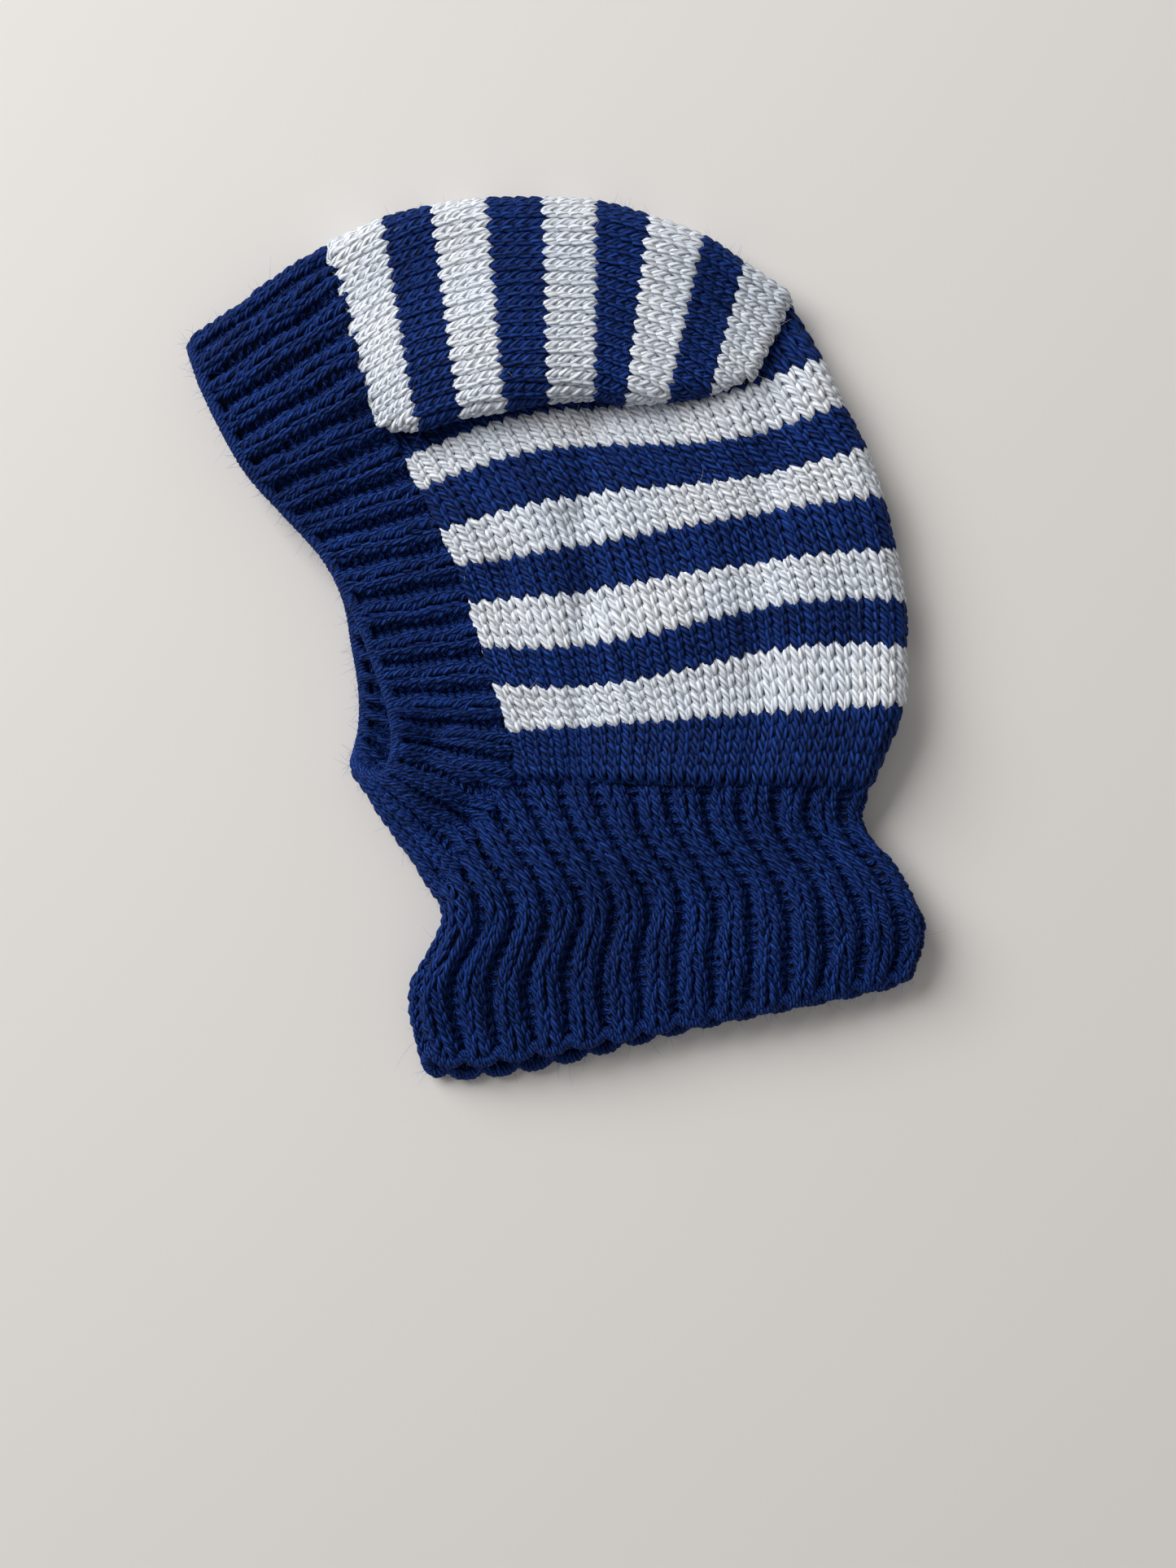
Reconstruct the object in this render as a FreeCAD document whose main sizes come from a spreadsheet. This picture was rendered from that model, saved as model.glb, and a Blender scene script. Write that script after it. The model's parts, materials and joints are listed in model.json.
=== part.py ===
import FreeCAD, Part
import math
import os
import Sketcher

# A hand-knitted balaclava lying flat on its side. X runs from the face to the back of the head,
# Y from the neck hem to the crown, Z up from the table through the lower and the upper layer.
# The fabric is folded round along the back of the head, over the crown and down the throat.

doc = FreeCAD.newDocument("balaclava")
sheet = doc.addObject("Spreadsheet::Sheet", "Sizes")
UP = FreeCAD.Vector(0, 0, 1)
ALONG_NORMAL = FreeCAD.Vector(0, 1, 0)


class Size:
    """A number of millimetres or degrees together with the sheet expression that gives it."""

    def __init__(self, value, text):
        self.value = value
        self.text = text

    def __add__(self, other):
        other = as_size(other)
        return Size(self.value + other.value, f"({self.text} + {other.text})")

    def __sub__(self, other):
        other = as_size(other)
        return Size(self.value - other.value, f"({self.text} - {other.text})")

    def __mul__(self, other):
        other = as_size(other)
        return Size(self.value * other.value, f"({self.text} * {other.text})")

    def __truediv__(self, other):
        other = as_size(other)
        return Size(self.value / other.value, f"({self.text} / {other.text})")


def as_size(number):
    return number if isinstance(number, Size) else Size(number, f"({number})")


def sine(angle):
    return Size(math.sin(math.radians(angle.value)), f"sin({angle.text})")


def cosine(angle):
    return Size(math.cos(math.radians(angle.value)), f"cos({angle.text})")


sheet_rows = []


def cell(alias, number):
    """Writes one driving dimension in the sheet and gives it back as a Size."""
    row = len(sheet_rows) + 1
    sheet_rows.append(alias)
    sheet.set(f"A{row}", alias)
    sheet.set(f"B{row}", str(number))
    sheet.setAlias(f"B{row}", alias)
    return Size(number, f"Sizes.{alias}")


NOTHING = Size(0, "0")

# ---- driving dimensions -------------------------------------------------------------------------

fabric = cell("fabric", 4)
layer_gap = cell("layer_gap", 9)
rib_fabric = cell("rib_fabric", 5)
neck_line = cell("neck_line", -38)
pick_up_x = cell("pick_up_x", -12)
pick_up_lean = cell("pick_up_lean", 0.36)
seam_width = cell("seam_width", 3)
seam_height = cell("seam_height", 1.5)
seam_clearance = cell("seam_clearance", 0.3)
edge_width = cell("edge_width", 2.5)
forehead_round = cell("forehead_round", 7)
lip_drop = cell("lip_drop", 1)

# How far short of the panels' ends each inner seam stops.
band_seam_foot = cell("band_seam_foot", 8)
band_seam_head = cell("band_seam_head", 14)
crown_seam_front = cell("crown_seam_front", 6)
crown_seam_back = cell("crown_seam_back", 12)

# How far the cut between the face band's layers runs past the band on each side.
cut_past_panels = cell("cut_past_panels", 10)
cut_past_throat = cell("cut_past_throat", 20)
cut_past_forehead = cell("cut_past_forehead", 0.3)

fold_radius = layer_gap / 2 + fabric
flat_height = fold_radius * 2
upper_layer = flat_height - fabric

# Side and back panel: where each join of two stripes meets the face band, how far it reaches to
# the back of the head, and how much it rises towards the back.
SIDE_JOINS = [
    (62, 127, 12.3),
    (52, 127.5, 14),
    (43, 129.5, 11.5),
    (31, 131.5, 11),
    (21, 132, 9),
    (10, 131, 7),
    (-3, 129, 6),
    (-14, 125, 5),
    (-28, 119, 4),
    (-38, 108, 0),
]
side_joins = [
    (cell(f"side_{i}_front", front), cell(f"side_{i}_reach", reach), cell(f"side_{i}_tilt", tilt))
    for i, (front, reach, tilt) in enumerate(SIDE_JOINS)
]

# Crown panel: where each join of two stripes meets the outline, its direction out from the seam,
# its reach from the overhanging roll to the outline, and the height of the puffed fabric there.
CROWN_JOINS = [
    (-67.08, 115, 109.8, 57, 23),
    (-51.5, 123.5, 100, 63, 25),
    (-37, 128, 98, 62, 27),
    (-21, 130, 95.5, 62, 29),
    (-4, 130, 91.5, 60, 30),
    (11.5, 129, 89.5, 59.5, 30),
    (27, 125, 83, 57.5, 29),
    (42, 119.5, 78, 52.5, 28),
    (56.5, 110.5, 75.5, 44, 26),
    (72, 97, 69, 28, 23),
]
CROWN_CELLS = ("x", "y", "heading", "reach", "height")
crown_joins = [
    [cell(f"crown_{i}_{word}", number) for word, number in zip(CROWN_CELLS, join)]
    for i, join in enumerate(CROWN_JOINS)
]

# Neck tube: the front end of each cross-section, its reach, its tilt and its flattened height.
NECK_SECTIONS = [
    (-59, -38, 155, 0, 17),
    (-43, -63.5, 131.5, 4.5, 18),
    (-34.5, -83, 138, 4, 19),
    (-43, -98, 153.3, 4, 21),
    (-44.5, -126, 154.5, 10.2, 22),
    (-43, -130, 152, 11.3, 20),
]
NECK_CELLS = ("x", "y", "reach", "tilt", "height")
neck_sections = [
    [cell(f"neck_{i}_{word}", number) for word, number in zip(NECK_CELLS, section)]
    for i, section in enumerate(NECK_SECTIONS)
]

# Face band: the forehead corner, the throat corner and the middle of the arc of the free edge.
forehead_x = cell("forehead_x", -110)
forehead_y = cell("forehead_y", 85)
throat_x = cell("throat_x", -62)
face_arc_x = cell("face_arc_x", -234)
face_arc_y = cell("face_arc_y", -34)

doc.recompute()


# ---- building blocks ----------------------------------------------------------------------------

def pick_up_point(y):
    """The x of the line where the face band is picked up from the panels, at a height y."""
    return pick_up_x - pick_up_lean * (y - neck_line)


def origin_plane(body, role):
    return next(item for item in body.Origin.OriginFeatures if item.Role == role)


def closed_profile(body, name, role, corners, arcs=None):
    """A closed sketch through corners; arcs gives an edge's centre and turn, the rest are lines."""
    arcs = arcs or {}
    sketch = body.newObject("Sketcher::SketchObject", name)
    sketch.AttachmentSupport = (origin_plane(body, role), [""])
    sketch.MapMode = "FlatFace"
    points = [FreeCAD.Vector(x.value, y.value, 0) for x, y in corners]
    ends = []
    for i, start in enumerate(points):
        finish = points[(i + 1) % len(points)]
        if i not in arcs:
            sketch.addGeometry(Part.LineSegment(start, finish))
            ends.append((1, 2))
            continue
        centre_x, centre_y, turn = arcs[i]
        centre = FreeCAD.Vector(centre_x.value, centre_y.value, 0)
        first, last = (start, finish) if turn > 0 else (finish, start)
        first_angle = math.atan2(first.y - centre.y, first.x - centre.x)
        last_angle = math.atan2(last.y - centre.y, last.x - centre.x)
        if last_angle < first_angle:
            last_angle += 2 * math.pi
        circle = Part.Circle(centre, UP, (first - centre).Length)
        sketch.addGeometry(Part.ArcOfCircle(circle, first_angle, last_angle))
        ends.append((1, 2) if turn > 0 else (2, 1))
    for i in range(len(points)):
        after = (i + 1) % len(points)
        sketch.addConstraint(Sketcher.Constraint("Coincident", i, ends[i][1], after, ends[after][0]))
    for i, (x, y) in enumerate(corners):
        bind(sketch, "DistanceX", i, ends[i][0], x)
        bind(sketch, "DistanceY", i, ends[i][0], y)
    for i, (centre_x, centre_y, turn) in arcs.items():
        bind(sketch, "DistanceX", i, 3, centre_x)
    return sketch


def bind(sketch, kind, edge, point, size):
    number = sketch.addConstraint(Sketcher.Constraint(kind, edge, point, size.value))
    sketch.setExpression(f"Constraints[{number}]", size.text)


def stand_up(sketch, x, y, angle):
    """Stands a sketch of the XZ plane at x, y and turns it about the vertical."""
    base = FreeCAD.Vector(x.value, 0, -y.value)
    turn = FreeCAD.Rotation(ALONG_NORMAL, angle.value)
    sketch.AttachmentOffset = FreeCAD.Placement(base, turn)
    sketch.setExpression("AttachmentOffset.Base.x", x.text)
    sketch.setExpression("AttachmentOffset.Base.z", f"-{y.text}")


def lift(sketch, z):
    """Lifts a sketch of the XY plane to the height z."""
    sketch.AttachmentOffset = FreeCAD.Placement(FreeCAD.Vector(0, 0, z.value), FreeCAD.Rotation())
    sketch.setExpression("AttachmentOffset.Base.z", z.text)


def loft(body, kind, name, sketches):
    feature = body.newObject(f"PartDesign::{kind}", name)
    feature.Profile = sketches[0]
    feature.Sections = sketches[1:]
    feature.Ruled = True
    for sketch in sketches:
        sketch.Visibility = False
    return feature


def new_body(label):
    body = doc.addObject("PartDesign::Body", label)
    body.Label = label
    body.Placement = FreeCAD.Placement()
    return body


def pad(body, name, sketch, length):
    feature = body.newObject("PartDesign::Pad", name)
    feature.Profile = sketch
    feature.Length = length.value
    feature.setExpression("Length", length.text)
    return feature


def strip_corners(start, finish, half_width):
    """The corners of a straight strip from start to finish, with its width in plan."""
    run = math.hypot(finish[0].value - start[0].value, finish[1].value - start[1].value)
    side_x = (finish[1] - start[1]) * (half_width / run)
    side_y = (finish[0] - start[0]) * (half_width / run)
    return [
        (start[0] - side_x, start[1] + side_y),
        (start[0] + side_x, start[1] - side_y),
        (finish[0] + side_x, finish[1] - side_y),
        (finish[0] - side_x, finish[1] + side_y),
    ]


# ---- side and back panel ------------------------------------------------------------------------

def side_section(body, name, join):
    """The U of one join: lower layer, fold round the back of the head, upper layer."""
    front, reach, tilt = join
    bend = reach - fold_radius
    corners = [
        (NOTHING, NOTHING),
        (bend, NOTHING),
        (bend, flat_height),
        (NOTHING, flat_height),
        (NOTHING, upper_layer),
        (bend, upper_layer),
        (bend, fabric),
        (NOTHING, fabric),
    ]
    arcs = {1: (bend, fold_radius, 1), 5: (bend, fold_radius, -1)}
    sketch = closed_profile(body, name, "XZ_Plane", corners, arcs)
    stand_up(sketch, pick_up_point(front), front, tilt)
    return sketch


def join_point(join, distance):
    """The point on a join at a distance from the face band."""
    front, reach, tilt = join
    return (pick_up_point(front) + cosine(tilt) * distance, front + sine(tilt) * distance)


def seam_reach(crown_join):
    """How far inside the outline a crown join meets the top of the side panel."""
    x, y, heading, reach, height = crown_join
    front, panel_reach, tilt = side_joins[0]
    slope = sine(tilt) / cosine(tilt)
    rise = (y - front) - (x - pick_up_point(front)) * slope
    return rise / (sine(heading) - cosine(heading) * slope)


def side_stripe(label, lower_join, upper_join):
    body = new_body(label)
    sections = [
        side_section(body, f"{label}_lower", lower_join),
        side_section(body, f"{label}_upper", upper_join),
    ]
    loft(body, "AdditiveLoft", f"{label}_loft", sections)
    return body


COLOURS = ("blue", "white")
for i in range(len(side_joins) - 1):
    stripe = side_stripe(f"side_stripe_{COLOURS[i % 2]}_{i // 2 + 1}", side_joins[i + 1], side_joins[i])
    if i == 0:
        # The corner where the back of the head turns into the crown.
        x, y, heading, reach, height = crown_joins[-1]
        inner = seam_reach(crown_joins[-1])
        corner = [
            (x, y),
            (x - cosine(heading) * inner, y - sine(heading) * inner),
            join_point(side_joins[0], side_joins[0][1]),
        ]
        gusset = closed_profile(stripe, "back_corner_plan", "XY_Plane", corner)
        pad(stripe, "back_corner", gusset, flat_height)

# ---- crown panel --------------------------------------------------------------------------------

def crown_section(body, name, join):
    """The band over the head at one join, from the lower seam to the roll's overhanging lip."""
    x, y, heading, reach, height = join
    seam = NOTHING - seam_reach(join)
    lip = NOTHING - reach
    lip_inside = lip + fabric
    round_end = NOTHING - height / 2
    roll = height - flat_height - lip_drop
    roll_end = lip + roll
    roll_top = height - roll
    top_inside = height - fabric
    corners = [
        (seam, NOTHING),
        (round_end, NOTHING),
        (round_end, height),
        (roll_end, height),
        (lip, roll_top),
        (lip, flat_height),
        (lip_inside, flat_height),
        (lip_inside, roll_top),
        (roll_end, top_inside),
        (round_end, top_inside),
        (round_end, fabric),
        (seam, fabric),
    ]
    arcs = {
        1: (round_end, height / 2, 1),
        3: (roll_end, roll_top, 1),
        7: (roll_end, roll_top, -1),
        9: (round_end, height / 2, -1),
    }
    sketch = closed_profile(body, name, "XZ_Plane", corners, arcs)
    stand_up(sketch, x, y, heading)
    return sketch


for i in range(len(crown_joins) - 1):
    label = f"crown_stripe_{COLOURS[(i + 1) % 2]}_{i // 2 + 1}"
    body = new_body(label)
    sections = [
        crown_section(body, f"{label}_front", crown_joins[i]),
        crown_section(body, f"{label}_back", crown_joins[i + 1]),
    ]
    loft(body, "AdditiveLoft", f"{label}_loft", sections)

# ---- neck tube ----------------------------------------------------------------------------------

def neck_ring(body, name, section, inset):
    """The flattened ring of the neck tube, inset from its outer face."""
    x, y, reach, tilt, height = section
    middle = height / 2
    front_end = middle
    back_end = reach - middle
    top = height - inset
    corners = [(front_end, inset), (back_end, inset), (back_end, top), (front_end, top)]
    arcs = {1: (back_end, middle, 1), 3: (front_end, middle, 1)}
    sketch = closed_profile(body, name, "XZ_Plane", corners, arcs)
    stand_up(sketch, x, y, tilt)
    return sketch


def neck_tube(label, sections):
    body = new_body(label)
    outer = [neck_ring(body, f"{label}_outer_{i}", item, NOTHING) for i, item in enumerate(sections)]
    loft(body, "AdditiveLoft", f"{label}_outer_loft", outer)
    doc.recompute()
    inner = [neck_ring(body, f"{label}_inner_{i}", item, rib_fabric) for i, item in enumerate(sections)]
    loft(body, "SubtractiveLoft", f"{label}_inner_loft", inner)
    return body


neck_tube("neck_rib", neck_sections[:5])
neck_tube("neck_edge", neck_sections[4:])

# ---- face band ----------------------------------------------------------------------------------

crown_front_y = crown_joins[0][1]
pick_up_top = (pick_up_point(crown_front_y), crown_front_y)
pick_up_bottom = (pick_up_x, neck_line)
forehead = (forehead_x, forehead_y)
throat = (throat_x, neck_line)
forehead_run_x = pick_up_top[0] - forehead_x
forehead_run_y = pick_up_top[1] - forehead_y
forehead_run = math.hypot(forehead_run_x.value, forehead_run_y.value)
edge_share = edge_width / forehead_run
forehead_inset = (forehead_x + forehead_run_x * edge_share, forehead_y + forehead_run_y * edge_share)
throat_inset = (throat_x + edge_width, neck_line)


def cut_between_layers(body, label):
    """Opens the gap between the two layers, leaving the folds at the forehead and the throat."""
    inset_x = forehead_run_y * (fabric / forehead_run)
    inset_y = forehead_run_x * (fabric / forehead_run)
    past_x = forehead_run_x * cut_past_forehead
    past_y = forehead_run_y * cut_past_forehead
    throat_fold = neck_line + fabric
    corners = [
        (pick_up_x + cut_past_panels, throat_fold),
        (pick_up_top[0] + inset_x + past_x, pick_up_top[1] - inset_y + past_y),
        (forehead_x + inset_x - past_x, forehead_y - inset_y - past_y),
        (throat_x - cut_past_throat, throat_fold),
    ]
    gap = closed_profile(body, f"{label}_gap", "XY_Plane", corners)
    lift(gap, upper_layer)
    pocket = body.newObject("PartDesign::Pocket", f"{label}_pocket")
    pocket.Profile = gap
    pocket.Length = layer_gap.value
    pocket.setExpression("Length", layer_gap.text)
    return pocket


TOUCHING = 0.01


def round_forehead(body, label, pocket):
    """Rounds the two long outer edges of the fold over the forehead."""
    names = []
    for number, edge in enumerate(pocket.Shape.Edges, 1):
        ends = [vertex.Point for vertex in edge.Vertexes]
        on_line = all(abs(forehead_offset(point)) < TOUCHING for point in ends)
        level = abs(ends[0].z - ends[-1].z) < TOUCHING
        if on_line and level:
            names.append(f"Edge{number}")
    if len(names) != 2:
        raise RuntimeError(f"{label}: the forehead fold has {len(names)} long edges, not 2")
    fillet = body.newObject("PartDesign::Fillet", f"{label}_fold")
    fillet.Base = (pocket, names)
    fillet.Radius = forehead_round.value
    fillet.setExpression("Radius", forehead_round.text)


def forehead_offset(point):
    """How far a point lies from the upright plane of the forehead fold."""
    away_x = point.x - forehead_x.value
    away_y = point.y - forehead_y.value
    return (away_x * forehead_run_y.value - away_y * forehead_run_x.value) / forehead_run


# The two layers and the folds are less than this share of the uncut band.
LARGEST_KEPT_SHARE = 0.8


def band_piece(label, corners, arcs):
    body = new_body(label)
    plan = closed_profile(body, f"{label}_plan", "XY_Plane", corners, arcs)
    solid = pad(body, f"{label}_pad", plan, flat_height)
    doc.recompute()
    full_volume = solid.Shape.Volume
    pocket = cut_between_layers(body, label)
    doc.recompute()
    if pocket.Shape.Volume > LARGEST_KEPT_SHARE * full_volume:
        raise RuntimeError(f"{label}: the gap between the layers was not cut")
    round_forehead(body, label, pocket)


band_piece(
    "face_band",
    [pick_up_bottom, pick_up_top, forehead_inset, throat_inset],
    {2: (face_arc_x, face_arc_y, -1)},
)
band_piece(
    "face_band_edge",
    [forehead_inset, forehead, throat, throat_inset],
    {1: (face_arc_x, face_arc_y, -1), 3: (face_arc_x, face_arc_y, 1)},
)

# ---- seams --------------------------------------------------------------------------------------

def seam_strip(label, start, finish, z):
    body = new_body(label)
    corners = strip_corners(start, finish, seam_width / 2)
    plan = closed_profile(body, f"{label}_plan", "XY_Plane", corners)
    lift(plan, z)
    pad(body, f"{label}_pad", plan, seam_height)
    return body


# The picked-up stitches leave a ridge on the inside of each layer, along the face band.
band_seam_levels = (neck_line + band_seam_foot, crown_front_y - band_seam_head)
band_seam_ends = [(pick_up_point(y), y) for y in band_seam_levels]
seam_strip("right_band_seam", *band_seam_ends, fabric)
seam_strip("left_band_seam", *band_seam_ends, upper_layer - seam_height)

# The crown's lower edge is sewn on the inside, its upper edge in the crease under the roll.
top_join = side_joins[0]
crown_seam_ends = [join_point(top_join, at) for at in (crown_seam_front, top_join[1] - crown_seam_back)]
seam_strip("right_crown_seam", *crown_seam_ends, fabric)


def lip_point(join, beyond):
    """The point on top of the side panel just outside the roll's lip."""
    x, y, heading, reach, height = join
    return (x - cosine(heading) * (reach + beyond), y - sine(heading) * (reach + beyond))


crease = new_body("left_crown_seam")
inner_side = [lip_point(join, seam_clearance) for join in crown_joins[1:]]
outer_side = [lip_point(join, seam_clearance + seam_height) for join in crown_joins[1:]]
crease_plan = closed_profile(crease, "crease_plan", "XY_Plane", inner_side + outer_side[::-1])
lift(crease_plan, flat_height)
pad(crease, "crease_pad", crease_plan, seam_height)

# ---- checks and files ---------------------------------------------------------------------------

doc.recompute()
bodies = [item for item in doc.Objects if item.TypeId == "PartDesign::Body"]
for item in doc.Objects:
    for state in ("Invalid", "Error"):
        if state in item.State:
            raise RuntimeError(f"{item.Label} is {state}")
box = FreeCAD.BoundBox()
for body in bodies:
    if body.Shape.isNull() or not body.Shape.isValid() or len(body.Shape.Solids) != 1:
        raise RuntimeError(f"{body.Label} is not one valid solid")
    box.add(body.Shape.BoundBox)

os.makedirs("parts", exist_ok=True)
for body in bodies:
    body.Shape.exportStep(f"parts/{body.Label}.step")
    print(body.Label, round(body.Shape.Volume), "mm3")
print(len(bodies), "pieces in", box)
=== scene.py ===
"""A hand-knitted balaclava lying flat: its yarn is modelled stitch by stitch on the frame's fabric."""

import json
import math

import bmesh
import bpy
import numpy as np
from bpy.props import FloatProperty, FloatVectorProperty, IntProperty, PointerProperty
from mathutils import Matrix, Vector

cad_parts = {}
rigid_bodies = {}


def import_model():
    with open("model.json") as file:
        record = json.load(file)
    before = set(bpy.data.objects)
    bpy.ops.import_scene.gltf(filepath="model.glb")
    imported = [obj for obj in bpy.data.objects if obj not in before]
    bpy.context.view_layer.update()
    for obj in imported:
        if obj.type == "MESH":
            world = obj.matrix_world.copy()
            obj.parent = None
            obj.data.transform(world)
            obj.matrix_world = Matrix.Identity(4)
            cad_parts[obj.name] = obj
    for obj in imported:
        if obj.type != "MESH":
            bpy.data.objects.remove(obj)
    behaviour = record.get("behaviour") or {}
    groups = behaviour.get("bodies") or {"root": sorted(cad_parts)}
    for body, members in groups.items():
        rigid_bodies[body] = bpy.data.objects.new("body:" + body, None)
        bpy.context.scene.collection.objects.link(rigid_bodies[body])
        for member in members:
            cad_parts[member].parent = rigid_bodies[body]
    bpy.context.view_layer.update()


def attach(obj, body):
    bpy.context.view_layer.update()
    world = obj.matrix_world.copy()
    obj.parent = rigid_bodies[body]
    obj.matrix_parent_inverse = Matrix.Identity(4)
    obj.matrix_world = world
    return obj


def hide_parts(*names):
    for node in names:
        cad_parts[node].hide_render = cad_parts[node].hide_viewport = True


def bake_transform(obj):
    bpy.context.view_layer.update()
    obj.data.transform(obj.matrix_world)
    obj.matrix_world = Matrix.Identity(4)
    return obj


bl_info = {
    "name": "Knitted Balaclava",
    "version": (1, 0, 0),
    "blender": (4, 5, 0),
    "location": "View3D > Sidebar > Balaclava",
    "description": "Knits the balaclava's yarn and fabric on its frame, and sets the stage",
    "category": "Object",
}

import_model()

# ---------------------------------------------------------------- how the fabric is counted out

ROWS_PER_STRIPE = 4
SIDE_STRIPES = 9
SIDE_ROWS = ROWS_PER_STRIPE * SIDE_STRIPES
SIDE_WALES = 57
CROWN_STRIPES = 9
CROWN_ROWS = ROWS_PER_STRIPE * CROWN_STRIPES
NECK_WALES = 112
NECK_ROWS = 24
BAND_WALES = 160
BAND_ROWS = 13
# Both ribs are two by two, so their ridges repeat after four wales.
NECK_REPEAT = 4
BAND_REPEAT = 4

# ---------------------------------------------------------------- where the fabric lies


def mm(*values):
    """Millimetres as an array in metres."""
    return np.array(values, float) / 1000.0


# Side joins, from the crown down to the neck: front x, front y, back x, back y and the join's wave.
SIDE_JOINS = mm(
    (-52.8, 62, 68.6, 103, 6.2),
    (-45.6, 52, 79.3, 82.8, 4.1),
    (-40.8, 43, 85.7, 68.8, 4.1),
    (-34.2, 31, 92.2, 56.1, 2.3),
    (-29.8, 21, 97.1, 41.6, -0.5),
    (-26.2, 10, 100.7, 26, -1),
    (-22.4, -3, 103.7, 10.5, -3),
    (-18.9, -14, 103.9, -3.1, -3),
    (-14.2, -28, 103.1, -19.7, 0),
    (-12.0, -38, 96, -38, 0),
)
# The back fold's radius, how far the yarn's middle lies inside the outline, and the lower layer's level.
FOLD_RADIUS = 0.0065
FOLD_INSET = 0.0020
LOWER_LEVEL = 0.0025
# The upper layer swells between its edges, and dips over its last rows into the crease under the crown.
SIDE_SWELL = 0.0022
SIDE_LOOSENESS = 1.5
CREASE_DIP = 0.0056
CREASE_ROWS = 7
# Furrows up the side: depth, width, x where y is 0, and how far x leans for each step in y.
SIDE_FURROWS = ((0.0022, 0.006, 0.0081, 0.02), (0.0018, 0.007, 0.0590, 0.05))

# Crown joins, from the forehead to the back: x, y, reach and height, with the outward heading in degrees.
CROWN_JOINS = mm(
    (-67.5, 118, 60.5, 22),
    (-51.5, 124.5, 66, 25),
    (-37, 128, 66, 27),
    (-21, 130, 65.5, 29),
    (-4, 130, 63, 30),
    (11.5, 129, 61, 30),
    (27, 125, 58.5, 29),
    (43.0, 119.2, 52.5, 27),
    (55, 111.9, 43.5, 24),
    (68.9, 103.2, 32, 20.8),
)
CROWN_HEADINGS = np.radians([106, 100, 98, 95.5, 91.5, 89.5, 83, 78, 75.5, 66])
# How wide a wale of the crown is.
CROWN_PITCH = 0.0041
# The crown stands up along the outline for this share of its height, then climbs to its full height.
CROWN_OUTER_SHARE = 0.78
# The roll along its inner edge turns under by this angle past a right angle, ends at this level and
# slopes down from there. Its radius has a lower limit, for where the crown is hardly higher than that.
TUCK_ANGLE = math.radians(68)
TUCK_LEVEL = 0.0178
TUCK_SLOPE = 0.3
LEAST_ROLL = 0.0007

# Neck sections, from the hem up: front x, front y, back x, back y and the flattened height.
NECK_SECTIONS = mm(
    (-42, -127, 107.5, -98.5, 13.5),
    (-44.3, -105, 109.0, -84, 17.5),
    (-34.5, -82, 102, -70.5, 18),
    (-46, -60, 91, -53.5, 17),
    (-61, -38, 96.6, -38, 17),
)
# How far the middle of the ribs' yarn lies inside the tube, and how uneven their upper layer is.
RIB_INSET = 0.0030
NECK_LOOSENESS = 1.8
BAND_LOOSENESS = 1.6
# The hem is shaped over its last rows: its lower layer shows below it, most in one lobe, and its
# ridges hang lower. Its corners round off, each by a rise and over a length.
HEM_ROWS = 4
HEM_SHOWS = 0.0016
HEM_LOBE = 0.0030
HEM_LOBE_PLACE = 0.035
HEM_LOBE_WIDTH = 0.035
HEM_SCALLOP = 0.0009
HEM_FRONT_RISE = 0.0045
HEM_FRONT_EXTRA = 0.0040
HEM_FRONT_LENGTH = 0.007
HEM_BACK_RISE = 0.0030
HEM_BACK_LENGTH = 0.005

# The face band from the forehead fold to the chin fold: its picked-up line, then its free edge.
BAND_UPPER = mm(
    (-68.4, 114.5, 11, -108.5, 86.5, 8.5),
    (-64.2, 102.0, 17.5, -104.5, 75.5, 13.5),
    (-58.2, 83, 18.5, -97.4, 61, 14.5),
    (-53, 65.6, 17.5, -89.8, 48.2, 15),
    (-44.0, 48.8, 15.5, -79.1, 36.2, 15),
    (-34.3, 31.1, 15, -67.9, 23.5, 15),
    (-27.4, 13.4, 15, -59.1, 7.9, 15.5),
    (-21.8, -4.3, 15, -52.8, -7.8, 16),
    (-16.2, -22, 15, -48.5, -21.1, 16),
    (-13.2, -39.5, 15, -47.2, -31.8, 16.5),
    (-22.5, -55.5, 15, -49.6, -40, 17),
    (-30, -70.5, 14.5, -54.8, -41.0, 14.5),
    (-32, -79, 9, -59.5, -38, 8.5),
)
BAND_LOWER = mm(
    (-30, -70.5, 3.2, -60.1, -35.0, 3.5),
    (-22.5, -55.5, 2.6, -58.6, -28.6, 2.6),
    (-13.2, -39.5, 2.6, -57.9, -20.7, 2.6),
    (-16.2, -22, 2.6, -58.6, -11.7, 2.6),
    (-21.8, -4.3, 2.6, -60.5, -0.9, 2.6),
    (-27.4, 13.4, 2.6, -63.0, 11.9, 2.6),
    (-34.3, 31.1, 2.6, -69.2, 25, 2.6),
    (-44.0, 48.8, 2.6, -79.1, 36.2, 2.6),
    (-51.5, 66, 2.6, -89.8, 48.2, 2.6),
    (-56.5, 83.5, 2.6, -97.4, 61, 2.6),
    (-62.5, 102.8, 3.5, -104.5, 75.5, 3.2),
)
BAND_RING = np.vstack([BAND_UPPER, BAND_LOWER])
# The row that would lie on the free edge.
BAND_EDGE_ROW = 13.4

# The line the band is picked up along, down the throat from the neck's top row: y and x.
THROAT_Y = mm(-78.6, -63, -48.6, -37.8)
THROAT_X = mm(-33.5, -26.3, -19.3, -12.6)


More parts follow.
